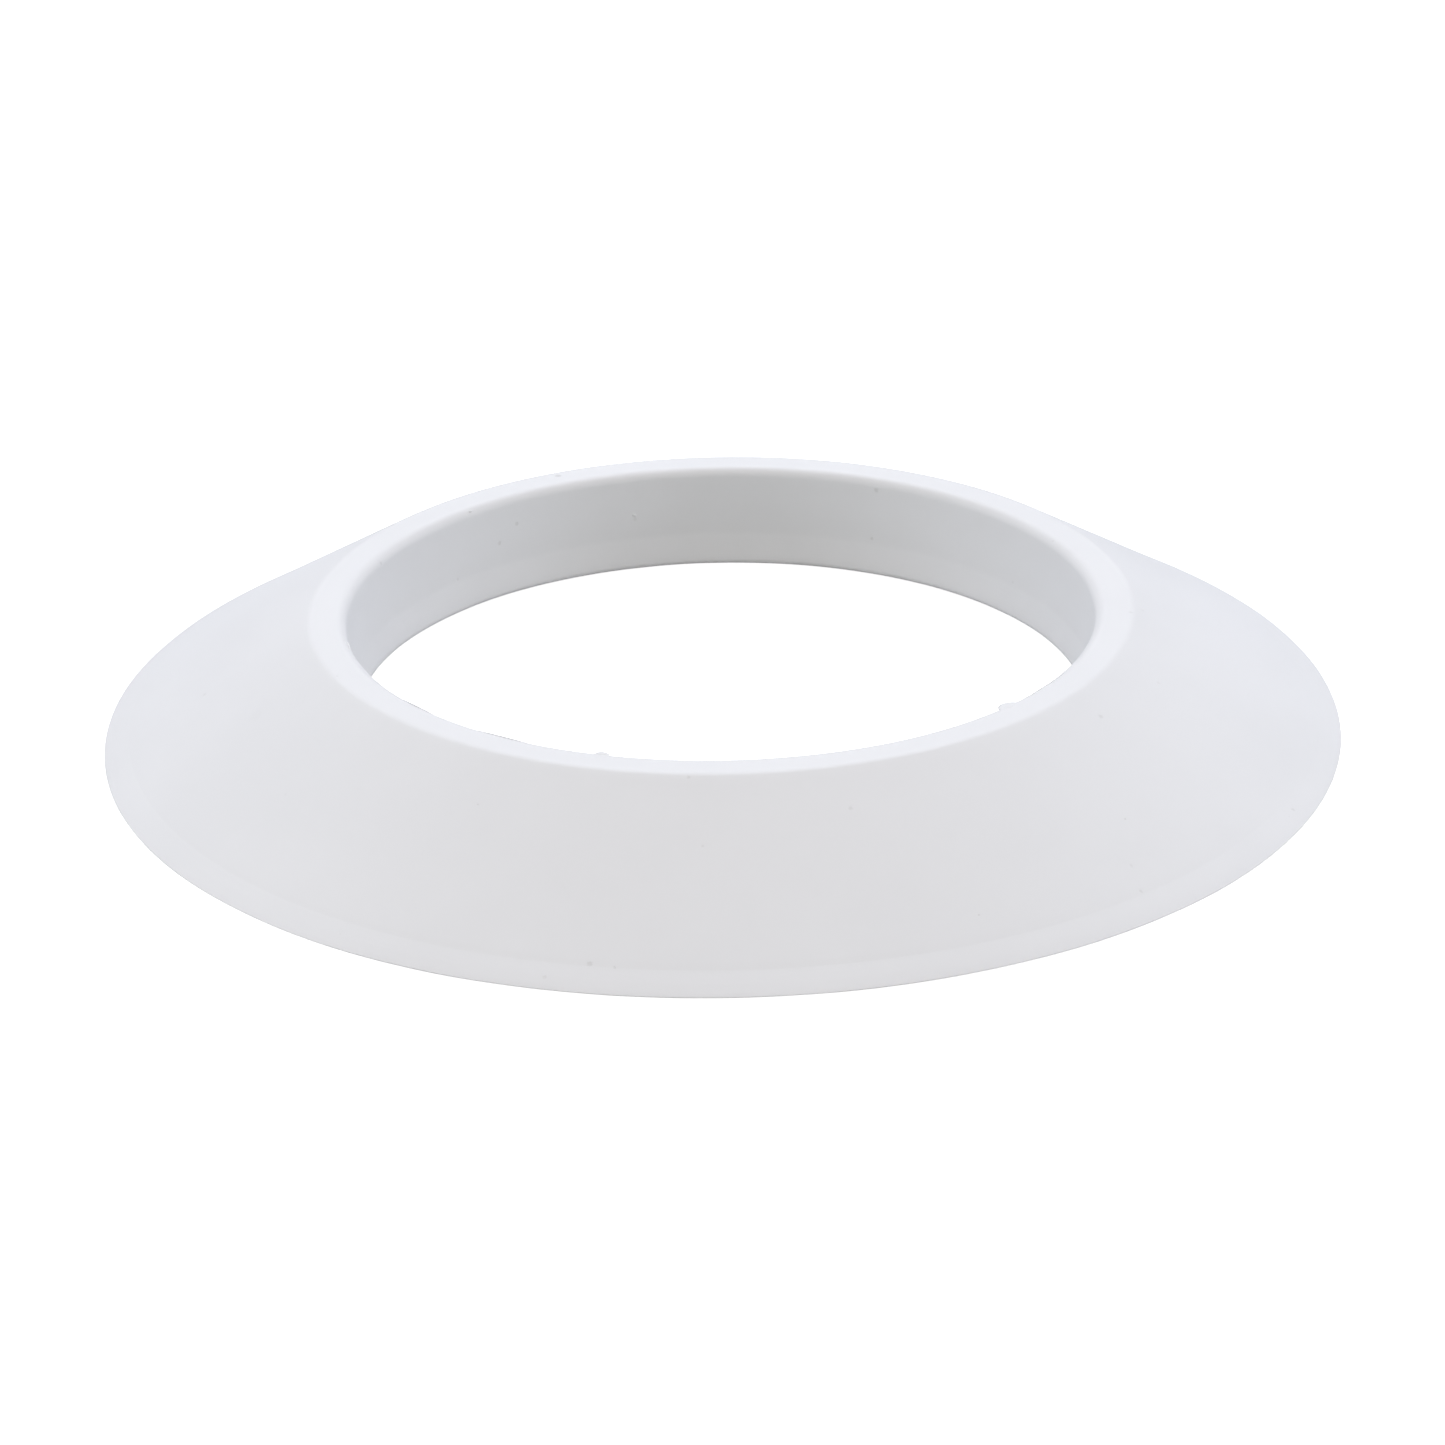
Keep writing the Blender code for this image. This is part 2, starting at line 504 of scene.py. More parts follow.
class FinishShop:
    """Makes the materials, from effects that they share."""

    def __init__(self) -> None:
        """Builds the shared effects once."""
        self.grain = grain_group()
        self.turning_marks = turning_marks_group()
        self.pits = pits_group()
        self.speck = speck_group()

    def make(self, finish: MouldedRubber, specks: tuple[Speck, ...] = ()) -> bpy.types.Material:
        """Makes one material.

        Args:
            finish: the finish that it gives.
            specks: the specks that lie on it at given places.

        Returns:
            The material.
        """
        material = bpy.data.materials.new(finish.name)
        material.use_nodes = True
        build = NodeBuilder(material.node_tree)
        shader = material.node_tree.nodes["Principled BSDF"]
        place = build.add("ShaderNodeTexCoord").outputs["Object"]

        grain = build.add("ShaderNodeGroup", node_tree=self.grain, in_Vector=place,
                          in_Size=finish.grain_size, in_Depth=finish.grain_depth,
                          in_Octaves=finish.texture.value)
        marks = build.add("ShaderNodeGroup", node_tree=self.turning_marks, in_Vector=place,
                          in_Pitch=finish.ring_pitch, in_Depth=finish.ring_depth)
        pits = build.add("ShaderNodeGroup", node_tree=self.pits, in_Vector=place,
                         in_Share=finish.pit_share)

        height = build.math("ADD", grain.outputs["Height"], marks.outputs["Height"])
        height = build.math("ADD", height, pits.outputs["Height"])
        # Painted shade in the pits: their recesses are darkened.
        dirt_and_shade = build.math("MULTIPLY", pits.outputs["Mask"], PIT_SHADE)
        # Specks darken the skin: dirt on some, painted shade in dents and under pimples on others.
        for speck in specks:
            node = build.add("ShaderNodeGroup", node_tree=self.speck, in_Vector=place,
                             in_Place=speck.place(), in_Radius=speck.size, in_Tone=speck.tone,
                             in_Rise=speck.rise)
            height = build.math("ADD", height, node.outputs["Height"])
            dirt_and_shade = build.math("MAXIMUM", dirt_and_shade, node.outputs["Mask"])
        bump = build.add("ShaderNodeBump", in_Height=height, in_Distance=1.0, in_Strength=1.0)
        build.feed(shader.inputs["Normal"], bump.outputs["Normal"])

        # Where the outline bends, at its edges and in its creases, the colour is darkened as
        # painted shade, and the roughness is polished.
        edge = build.add("ShaderNodeAttribute", attribute_name="edge").outputs["Fac"]
        dark, pale, edge_shade = (
            (*(Vector(finish.colour) * tint), 1.0) for tint in (*MOTTLE_TINTS, EDGE_SHADE)
        )
        mottled = build.mix(build.ramp(grain.outputs["Mottle"], *MOTTLE_RANGE), dark, pale)
        edge_shaded = build.mix(build.math("MULTIPLY", edge, EDGE_SHADE_SHARE), mottled, edge_shade)
        # Dirt and painted shade are laid over the colour last.
        build.feed(shader.inputs["Base Color"], build.mix(dirt_and_shade, edge_shaded, DIRT_AND_SHADE_COLOUR))

        rough = build.ramp(grain.outputs["Mottle"], *MOTTLE_RANGE,
                           finish.roughness - MOTTLE_ROUGHNESS, finish.roughness + MOTTLE_ROUGHNESS)
        polish = build.math("MULTIPLY", edge, EDGE_POLISH)
        build.feed(shader.inputs["Roughness"], build.math("SUBTRACT", rough, polish))
        return material


# --- The collar ---

CORNER_VALUES = (("rounding", "FLOAT"), ("steps", "INT"))  # what the outline's points carry
EDGE_BEND = (0.05, 0.5)  # how much the outline turns where the painted edge shade and the polish start, and where they are full
DOWNWARD = 0.02  # a face whose normal points up by less than this belongs to the back
SMALLEST_BLISTER = 0.6  # as a share of the usual reach, to which up to 1 is added
HOLLOW_SHARE = 0.4  # the share of the blisters that are hollows
UNEVENNESS_SCALE = 55.0
LIP_WAVE_SCALE = 2.2
LIP_WAVE_MIDDLE = 0.62
LIP_WAVE_FALLOFF = 8.0


@dataclass(frozen=True)
class Corner:
    """One corner of the cross-section.

    Args:
        radius: its distance from the axis.
        height: its height above the seat.
        rounding: the radius of the arc that rounds it.
        steps: how many facets that arc has.
    """

    radius: float
    height: float
    rounding: float
    steps: int


@dataclass(frozen=True)
class Sliver:
    """A sliver or a nub of flash: an arc round the axis that tapers into the skin at both ends.

    Args:
        start: where it starts, in degrees from +X.
        end: where it ends, in degrees from +X.
        radius: its middle's distance from the axis.
        height: its height above the seat.
        width: how far it spreads from its middle line, outwards and inwards.
        rise: how far it spreads up and down.
        bluntness: how full its ends are: 1 is a spindle, and smaller is blunter.
    """

    start: float
    end: float
    radius: float
    height: float
    width: float
    rise: float
    bluntness: float


@dataclass
class MouthFlash:
    """The flash that trimming left on the mouth's edge, and the pimples in the bore.

    Args:
        slivers: every sliver, nub and pimple.
        steps: how many lengths each is cut into.
        facets: how many sides each has round its middle line.
        end_share: how near its ends the taper stops, as a share of its length.
        unit: the radius of the ring that is swept along it, before it is scaled.
    """

    slivers: tuple[Sliver, ...]
    steps: int = 14
    facets: int = 8
    end_share: float = 0.02
    unit: float = 1.0 * MM

    def middle_lines(self) -> bpy.types.Object:
        """Makes each sliver's middle line, with its taper, width and rise as attributes.

        Returns:
            An object that holds the lines.
        """
        points: list[tuple[float, float, float]] = []
        edges: list[tuple[int, int]] = []
        values: dict[str, list[float]] = {"taper": [], "width": [], "rise": []}
        for sliver in self.slivers:
            for step in range(self.steps + 1):
                share = step / self.steps
                angle = math.radians(sliver.start + share * (sliver.end - sliver.start))
                full = math.sin(math.pi * min(max(share, self.end_share), 1.0 - self.end_share))
                taper = full**sliver.bluntness
                radius = sliver.radius + (1.0 - taper) * sliver.width
                if step:
                    edges.append((len(points) - 1, len(points)))
                points.append((radius * math.cos(angle), radius * math.sin(angle), sliver.height))
                values["taper"].append(taper)
                values["width"].append(sliver.width / self.unit)
                values["rise"].append(sliver.rise / self.unit)
        mesh = bpy.data.meshes.new("mouth_flash")
        mesh.from_pydata(points, edges, [])
        for title, numbers in values.items():
            mesh.attributes.new(title, "FLOAT", "POINT").data.foreach_set("value", numbers)
        return placed("mouth_flash", mesh)

    def sweep_tree(self) -> bpy.types.NodeTree:
        """Builds the tree that gives the middle lines their flattened, tapering bodies.

        Returns:
            The geometry tree.
        """
        build, given, out = new_tree(
            "flash_slivers", "GeometryNodeTree",
            {"Lines": ("NodeSocketGeometry", None), "Facets": ("NodeSocketInt", 8),
             "Unit": ("NodeSocketFloat", MM), "Material": ("NodeSocketMaterial", None)},
            {"Geometry": "NodeSocketGeometry"},
        )
        taper, width, rise = (build.named(title) for title in ("taper", "width", "rise"))
        position = build.add("GeometryNodeInputPosition").outputs[0]
        curve = build.add("GeometryNodeMeshToCurve", given["Lines"]).outputs[0]
        centred = build.add("GeometryNodeStoreNamedAttribute", curve, data_type="FLOAT_VECTOR",
                            domain="POINT", in_Name="centre", in_Value=position).outputs[0]
        ring = build.add("GeometryNodeCurvePrimitiveCircle", in_Resolution=given["Facets"],
                         in_Radius=given["Unit"]).outputs[0]
        swept = build.add("GeometryNodeCurveToMesh", centred, ring, in_Scale=taper,
                          in_Fill_Caps=True).outputs[0]
        centre = build.named("centre", "FLOAT_VECTOR")
        across = build.vector("SUBTRACT", position, centre)
        spread = build.vector("MULTIPLY", across, build.join(width, width, rise))
        shaped = build.vector("ADD", centre, spread)
        flattened = build.add("GeometryNodeSetPosition", swept, in_Position=shaped).outputs[0]
        smooth = build.add("GeometryNodeSetShadeSmooth", flattened).outputs[0]
        whole = build.add("GeometryNodeRealizeInstances", smooth).outputs[0]
        skinned = build.add("GeometryNodeSetMaterial", whole, in_Material=given["Material"])
        build.feed(out.inputs[0], skinned.outputs[0])
        return build.tree

    def build(self, material: bpy.types.Material) -> bpy.types.Object:
        """Makes the slivers as one plain mesh.

        Args:
            material: the finish of the skin that they stand on.

        Returns:
            An object that holds them.
        """
        lines = self.middle_lines()
        mesh = mesh_through(lines, "mouth_flash_slivers", self.sweep_tree(), {
            "Facets": self.facets,
            "Unit": self.unit,
            "Material": material,
        })
        bpy.data.objects.remove(lines)
        return placed("mouth_flash_slivers", mesh)


MOUTH_FLASH = (
    # tabs and fins on the mouth's edge
    Sliver(313.2, 317.6, 54.95 * MM, 17.88 * MM, 1.05 * MM, 0.20 * MM, 0.75),
    Sliver(319.5, 330.5, 55.10 * MM, 17.90 * MM, 0.04 * MM, 0.15 * MM, 0.60),
    Sliver(251.6, 253.8, 54.60 * MM, 17.80 * MM, 0.55 * MM, 0.20 * MM, 0.50),
    Sliver(216.3, 224.0, 55.00 * MM, 17.86 * MM, 0.05 * MM, 0.20 * MM, 0.60),
    Sliver(232.5, 241.5, 55.00 * MM, 17.86 * MM, 0.05 * MM, 0.17 * MM, 0.60),
    Sliver(191.5, 195.5, 54.50 * MM, 17.50 * MM, 0.20 * MM, 0.25 * MM, 0.60),
    Sliver(133.6, 134.6, 54.55 * MM, 17.50 * MM, 0.16 * MM, 0.20 * MM, 0.60),
    # pimples in the bore
    Sliver(103.7, 104.7, 53.95 * MM, 11.30 * MM, 0.26 * MM, 0.42 * MM, 0.50),
    Sliver(63.2, 63.9, 53.90 * MM, 8.80 * MM, 0.18 * MM, 0.30 * MM, 0.50),
)


@dataclass
class FlangeCollar:
    """The collar's moulding: its sizes, its shape and its dressing.

    Args:
        base_radius, height: the whole collar's, as the CAD model has them.
        pipe_radius: the soil pipe's radius.
        mouth_grip, lip_grip: how much smaller than the pipe the bore is there, in radius.
        neck_draft: how much the neck narrows from its mouth to its bend.
        grip_lip_length: how far up from the neck's end the bend is.
        neck_tip_clearance: how far the neck's end is above the seat.
        neck_root_wall, neck_tip_wall, land_wall, cone_wall: how thick the walls are.
        land_width: how wide the flat land is.
        seat_lip_width, seat_lip_slope, seat_lip_edge: the lip at the cone's foot.
        crown_reach, roll_slope: where that lip rolls off, and how steeply.
        crease_width, crease_depth: the crease between the cone and the lip.
        seat_round: how the seat's inner edge is rounded, as the radius of its arc.
        lip_under_round, lip_edge_round, crown_round: the same for the lip, from its edge inwards.
        crease_round, cone_foot_round, land_round: the same for the cone, from its foot upwards.
        mouth_round, neck_bend_round, neck_tip_round: the same for the neck, from its mouth down.
        cavity_round: the same for the corners of the hollow's roof.
        turn_segments, panel_length: how finely it is faceted, round the axis and along.
        lip_wave, sag, unevenness: how far it strays from its turned shape.
        blister_spacing, blister_reach, blister_rise: its faint blisters and hollows.
        seed: what their places and sizes are drawn from.
        hidden_margin: how far past the land's wall the hollow back's finish goes.
        flash: what trimming left at its mouth.
    """

    base_radius: float
    height: float
    pipe_radius: float = 55.0 * MM
    mouth_grip: float = 0.8 * MM
    neck_draft: float = 0.6 * MM
    lip_grip: float = 2.4 * MM
    grip_lip_length: float = 4.9 * MM
    neck_tip_clearance: float = 2.6 * MM
    neck_root_wall: float = 3.2 * MM
    neck_tip_wall: float = 2.0 * MM
    land_width: float = 5.4 * MM
    land_wall: float = 3.0 * MM
    cone_wall: float = 2.6 * MM
    seat_lip_width: float = 3.65 * MM
    seat_lip_slope: float = math.radians(29.2)
    seat_lip_edge: float = 0.12 * MM
    crown_reach: float = 1.85 * MM
    roll_slope: float = math.radians(30.1)
    crease_width: float = 0.8 * MM
    crease_depth: float = 0.036 * MM
    seat_round: float = 0.3 * MM
    lip_under_round: float = 0.05 * MM
    lip_edge_round: float = 0.10 * MM
    crown_round: float = 6.0 * MM
    crease_round: float = 0.8 * MM
    cone_foot_round: float = 1.5 * MM
    land_round: float = 1.9 * MM
    mouth_round: float = 1.55 * MM
    neck_bend_round: float = 6.0 * MM
    neck_tip_round: float = 0.7 * MM
    cavity_round: float = 1.0 * MM
    turn_segments: int = 480
    panel_length: float = 0.80 * MM
    lip_wave: float = 0.35 * MM
    sag: float = 0.3 * MM
    unevenness: float = 0.05 * MM
    blister_spacing: float = 7.0 * MM
    blister_reach: float = 2.2 * MM
    blister_rise: float = 0.03 * MM
    seed: int = 7
    hidden_margin: float = 0.5 * MM
    flash: MouthFlash = field(default_factory=lambda: MouthFlash(MOUTH_FLASH))

    @property
    def mouth_radius(self) -> float:
        """The bore's radius at its mouth."""
        return self.pipe_radius - self.mouth_grip

    @property
    def land_radius(self) -> float:
        """The land's outer radius."""
        return self.mouth_radius + self.land_width

    def corners(self) -> list[Corner]:
        """Lists the cross-section's corners, anticlockwise from the seat's inner edge.

        Returns:
            The corners.
        """
        bend_radius = self.mouth_radius - self.neck_draft
        tip_radius = self.pipe_radius - self.lip_grip
        tip = self.neck_tip_clearance
        crease_radius = self.base_radius - self.seat_lip_width
        crown_radius = crease_radius + self.crown_reach
        roll = self.base_radius - crown_radius
        crown_height = self.seat_lip_edge + roll * math.tan(self.roll_slope)
        crease_height = crown_height + self.crown_reach * math.tan(self.seat_lip_slope)
        run = crease_radius - self.land_radius
        fall = (self.height - crease_height) / run
        wall_drop = self.cone_wall * math.hypot(1.0, fall)
        foot_radius = crease_radius - self.crease_width
        foot_height = crease_height + self.crease_width * fall
        roof = self.height - self.land_wall

        def under_cone(level: float) -> float:
            """Gives the radius at which the cone's inner face reaches a height."""
            return self.land_radius + (self.height - wall_drop - level) / fall

        return [
            Corner(under_cone(0.0), 0.0, self.seat_round, 3),
            Corner(self.base_radius, 0.0, self.lip_under_round, 2),
            Corner(self.base_radius, self.seat_lip_edge, self.lip_edge_round, 4),
            Corner(crown_radius, crown_height, self.crown_round, 4),
            Corner(crease_radius, crease_height - self.crease_depth, self.crease_round, 3),
            Corner(foot_radius, foot_height, self.cone_foot_round, 3),
            Corner(self.land_radius, self.height, self.land_round, 7),
            Corner(self.mouth_radius, self.height, self.mouth_round, 10),
            Corner(bend_radius, tip + self.grip_lip_length, self.neck_bend_round, 3),
            Corner(tip_radius, tip, self.neck_tip_round, 6),
            Corner(tip_radius + self.neck_tip_wall, tip, self.neck_tip_round, 5),
            Corner(self.mouth_radius + self.neck_root_wall, roof, self.cavity_round, 5),
            Corner(under_cone(roof), roof, self.cavity_round, 5),
        ]

    def outline(self) -> bpy.types.Object:
        """Makes the sharp-cornered outline, with each corner's rounding as attributes.

        Returns:
            An object that holds the outline in the plane of radius and height.
        """
        corners = self.corners()
        count = len(corners)
        mesh = bpy.data.meshes.new("collar_outline")
        points = [(corner.radius, -corner.height, 0.0) for corner in corners]
        mesh.from_pydata(points, [(i, (i + 1) % count) for i in range(count)], [])
        for title, kind in CORNER_VALUES:
            numbers = [getattr(corner, title) for corner in corners]
            mesh.attributes.new(title, kind, "POINT").data.foreach_set("value", numbers)
        return placed("collar_outline", mesh)

    def turning_tree(self) -> bpy.types.NodeTree:
        """Builds the tree that rounds the outline's corners and turns it about the axis.

        Returns:
            The geometry tree.
        """
        build, given, out = new_tree(
            "turned_moulding", "GeometryNodeTree",
            {"Outline": ("NodeSocketGeometry", None), "Turn Segments": ("NodeSocketInt", 256),
             "Panel Length": ("NodeSocketFloat", MM), "Path Radius": ("NodeSocketFloat", 0.01),
             "Show Material": ("NodeSocketMaterial", None),
             "Hidden Material": ("NodeSocketMaterial", None),
             "Hidden Below": ("NodeSocketFloat", 0.0), "Hidden From": ("NodeSocketFloat", 0.0),
             "Hidden To": ("NodeSocketFloat", 0.0)},
            {"Geometry": "NodeSocketGeometry"},
        )
        curve = build.add("GeometryNodeMeshToCurve", given["Outline"]).outputs[0]
        rounding, steps = (build.named(title, kind) for title, kind in CORNER_VALUES)
        filleted = build.add("GeometryNodeFilletCurve", curve, mode="POLY", in_Count=steps,
                             in_Radius=rounding, in_Limit_Radius=True).outputs[0]

        index = build.add("GeometryNodeInputIndex").outputs[0]
        position = build.add("GeometryNodeInputPosition").outputs[0]
        following = build.add("GeometryNodeOffsetPointInCurve", index, 1).outputs["Point Index"]
        next_position = build.add("GeometryNodeFieldAtIndex", data_type="FLOAT_VECTOR",
                                  domain="POINT", in_Value=position, in_Index=following).outputs[0]
        stretch = build.length(build.vector("SUBTRACT", next_position, position))
        cuts = build.math("FLOOR", build.math("DIVIDE", stretch, given["Panel Length"]))
        panelled = build.add("GeometryNodeSubdivideCurve", filleted, cuts).outputs[0]

        previous = build.add("GeometryNodeOffsetPointInCurve", index, -1).outputs["Point Index"]
        tangent = build.add("GeometryNodeInputTangent").outputs[0]
        ahead, behind = (
            build.add("GeometryNodeFieldAtIndex", data_type="FLOAT_VECTOR", domain="POINT",
                      in_Value=tangent, in_Index=place).outputs[0]
            for place in (following, previous)
        )
        bend = build.length(build.vector("SUBTRACT", ahead, behind))
        edged = build.add("GeometryNodeStoreNamedAttribute", panelled, data_type="FLOAT",
                          domain="POINT", in_Name="edge",
                          in_Value=build.ramp(bend, *EDGE_BEND)).outputs[0]

        to_path = build.math("MULTIPLY", given["Path Radius"], -1.0)
        centred = build.shift(edged, build.join(to_path, 0.0, 0.0))
        path = build.add("GeometryNodeCurvePrimitiveCircle", in_Resolution=given["Turn Segments"],
                         in_Radius=given["Path Radius"]).outputs[0]
        turned = build.add("GeometryNodeCurveToMesh", path, centred).outputs[0]
        outward = build.add("GeometryNodeFlipFaces", turned).outputs[0]
        smooth = build.add("GeometryNodeSetShadeSmooth", outward).outputs[0]

        x, y, z = build.split(position)
        radius = build.length(build.join(x, y, 0.0))
        low = build.math("LESS_THAN", z, given["Hidden Below"])
        past_neck = build.math("GREATER_THAN", radius, given["Hidden From"])
        inside_lip = build.math("LESS_THAN", radius, given["Hidden To"])
        under = build.math("MULTIPLY", past_neck, inside_lip)
        normal_z = build.split(build.add("GeometryNodeInputNormal").outputs["Normal"])[2]
        facing_down = build.math("LESS_THAN", normal_z, DOWNWARD)
        hidden = build.math("MULTIPLY", build.math("MULTIPLY", low, under), facing_down)
        shown = build.add("GeometryNodeSetMaterial", smooth,
                          in_Material=given["Show Material"]).outputs[0]
        dressed = build.add("GeometryNodeSetMaterial", shown, in_Selection=hidden,
                            in_Material=given["Hidden Material"]).outputs[0]
        whole = build.add("GeometryNodeRealizeInstances", dressed).outputs[0]
        build.feed(out.inputs[0], whole)
        return build.tree

    def moulding_tree(self) -> bpy.types.NodeTree:
        """Builds the tree that gives the turned shape what a soft moulding has.

        Returns:
            The geometry tree.
        """
        build, given, out = new_tree(
            "soft_moulding", "GeometryNodeTree",
            {"Geometry": ("NodeSocketGeometry", None), "Flash": ("NodeSocketObject", None),
             "Base Radius": ("NodeSocketFloat", 0.1), "Sag": ("NodeSocketFloat", 0.0),
             "Lip Wave": ("NodeSocketFloat", 0.0), "Unevenness": ("NodeSocketFloat", 0.0),
             "Blister Spacing": ("NodeSocketFloat", 6 * MM),
             "Blister Reach": ("NodeSocketFloat", 2 * MM),
             "Blister Rise": ("NodeSocketFloat", 0.03 * MM), "Seed": ("NodeSocketInt", 0)},
            {"Geometry": "NodeSocketGeometry"},
        )
        position = build.add("GeometryNodeInputPosition").outputs[0]
        normal = build.add("GeometryNodeInputNormal").outputs["Normal"]

        # Faint blisters and hollows are scattered over the skin, each with its own reach and rise.
        spacing_squared = build.math("MULTIPLY", given["Blister Spacing"], given["Blister Spacing"])
        density = build.math("DIVIDE", 1.0, spacing_squared)
        scattered = build.add("GeometryNodeDistributePointsOnFaces", given["Geometry"],
                              distribute_method="RANDOM", in_Density=density,
                              in_Seed=given["Seed"]).outputs["Points"]
        share = build.add("FunctionNodeRandomValue", data_type="FLOAT",
                          in_Seed=given["Seed"]).outputs[1]
        wide = build.math("ADD", share, SMALLEST_BLISTER)
        reaches = build.math("MULTIPLY", given["Blister Reach"], wide)
        luck = build.add("FunctionNodeRandomValue", data_type="FLOAT",
                         in_Seed=build.math("ADD", given["Seed"], 1.0)).outputs[1]
        tall = build.math("SUBTRACT", luck, HOLLOW_SHARE)
        rises = build.math("MULTIPLY", given["Blister Rise"], tall)
        nearest = build.add("GeometryNodeSampleNearest", scattered, domain="POINT",
                            in_Sample_Position=position).outputs[0]
        blister_place = build.add("GeometryNodeSampleIndex", scattered, data_type="FLOAT_VECTOR",
                                  domain="POINT", in_Value=position, in_Index=nearest).outputs[0]
        reach, rise = (
            build.add("GeometryNodeSampleIndex", scattered, data_type="FLOAT", domain="POINT",
                      in_Value=numbers, in_Index=nearest).outputs[0]
            for numbers in (reaches, rises)
        )
        away = build.length(build.vector("SUBTRACT", position, blister_place))
        fading = build.ramp(build.math("DIVIDE", away, reach), 0.0, 1.0, 1.0, 0.0)
        swell = build.math("MULTIPLY", fading, rise)
        moved = build.shift(given["Geometry"], build.scaled(normal, swell))

        # The slivers of flash join the skin here, so that they move with it from now on.
        slivers = build.add("GeometryNodeObjectInfo", given["Flash"]).outputs["Geometry"]
        joined = build.add("GeometryNodeJoinGeometry", moved)
        build.feed(joined.inputs[0], slivers)
        moved = joined.outputs[0]

        # Slow unevenness over the whole skin.
        slow = build.math("SUBTRACT", build.noise(position, UNEVENNESS_SCALE), 0.5)
        swing = build.math("MULTIPLY", slow, build.math("MULTIPLY", given["Unevenness"], 2.0))
        moved = build.shift(moved, build.scaled(normal, swing))

        # The lip's edge wanders in radius, and less so further in.
        x, y, z = build.split(position)
        flat = build.join(x, y, 0.0)
        outward = build.vector("NORMALIZE", flat)
        radius_share = build.math("DIVIDE", build.length(flat), given["Base Radius"])
        near_lip = build.math("POWER", radius_share, LIP_WAVE_FALLOFF)
        wander = build.math("SUBTRACT", build.noise(outward, LIP_WAVE_SCALE), LIP_WAVE_MIDDLE)
        wave = build.math("MULTIPLY", build.math("MULTIPLY", wander, near_lip), given["Lip Wave"])
        moved = build.shift(moved, build.scaled(outward, wave))

        # The front and the back lift a little off the seat's plane, as an unloaded soft ring does.
        along_y = build.math("DIVIDE", y, given["Base Radius"])
        lift = build.math("MULTIPLY", build.math("MULTIPLY", along_y, along_y), given["Sag"])
        moved = build.shift(moved, build.join(0.0, 0.0, lift))
        on_seat = build.join(x, y, build.math("MAXIMUM", z, 0.0))
        seated = build.add("GeometryNodeSetPosition", moved, in_Position=on_seat).outputs[0]
        build.feed(out.inputs[0], build.add("GeometryNodeRealizeInstances", seated).outputs[0])
        return build.tree

    def build(self, show: bpy.types.Material, hidden: bpy.types.Material) -> bpy.types.Object:
        """Makes the collar.

        Args:
            show: the material of the faces that show once it is fitted.
            hidden: the material of the hollow back.

        Returns:
            The collar, which stands for the CAD node.
        """
        outline = self.outline()
        slivers = self.flash.build(show)
        turned = mesh_through(outline, "collar_turned", self.turning_tree(), {
            "Turn Segments": self.turn_segments,
            "Panel Length": self.panel_length,
            "Path Radius": self.land_radius,
            "Show Material": show,
            "Hidden Material": hidden,
            "Hidden Below": self.height - self.land_wall + self.hidden_margin,
            "Hidden From": self.pipe_radius - self.lip_grip + 0.5 * self.neck_tip_wall,
            "Hidden To": self.base_radius - self.seat_lip_width,
        })
        collar = placed("collar_moulding", turned)
        collar.data = mesh_through(collar, "collar_moulding", self.moulding_tree(), {
            "Flash": slivers,
            "Base Radius": self.base_radius,
            "Sag": self.sag,
            "Lip Wave": self.lip_wave,
            "Unevenness": self.unevenness,
            "Blister Spacing": self.blister_spacing,
            "Blister Reach": self.blister_reach,
            "Blister Rise": self.blister_rise,
            "Seed": self.seed,
        })
        for helper in (outline, slivers):
            bpy.data.objects.remove(helper)
        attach(collar, BODY)
        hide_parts(NODE)
        return collar


# --- The studio ---


@dataclass(frozen=True)
class SoftLight:
    """One rectangular studio light that faces the collar.

    Args:
        name: its name.
        place: where it stands.
        width: its width.
        height: its height.
        power: its power, in watts.
        colour: its colour.
    """

    name: str
    place: tuple[float, float, float]
    width: float
    height: float
    power: float
    colour: tuple[float, float, float]


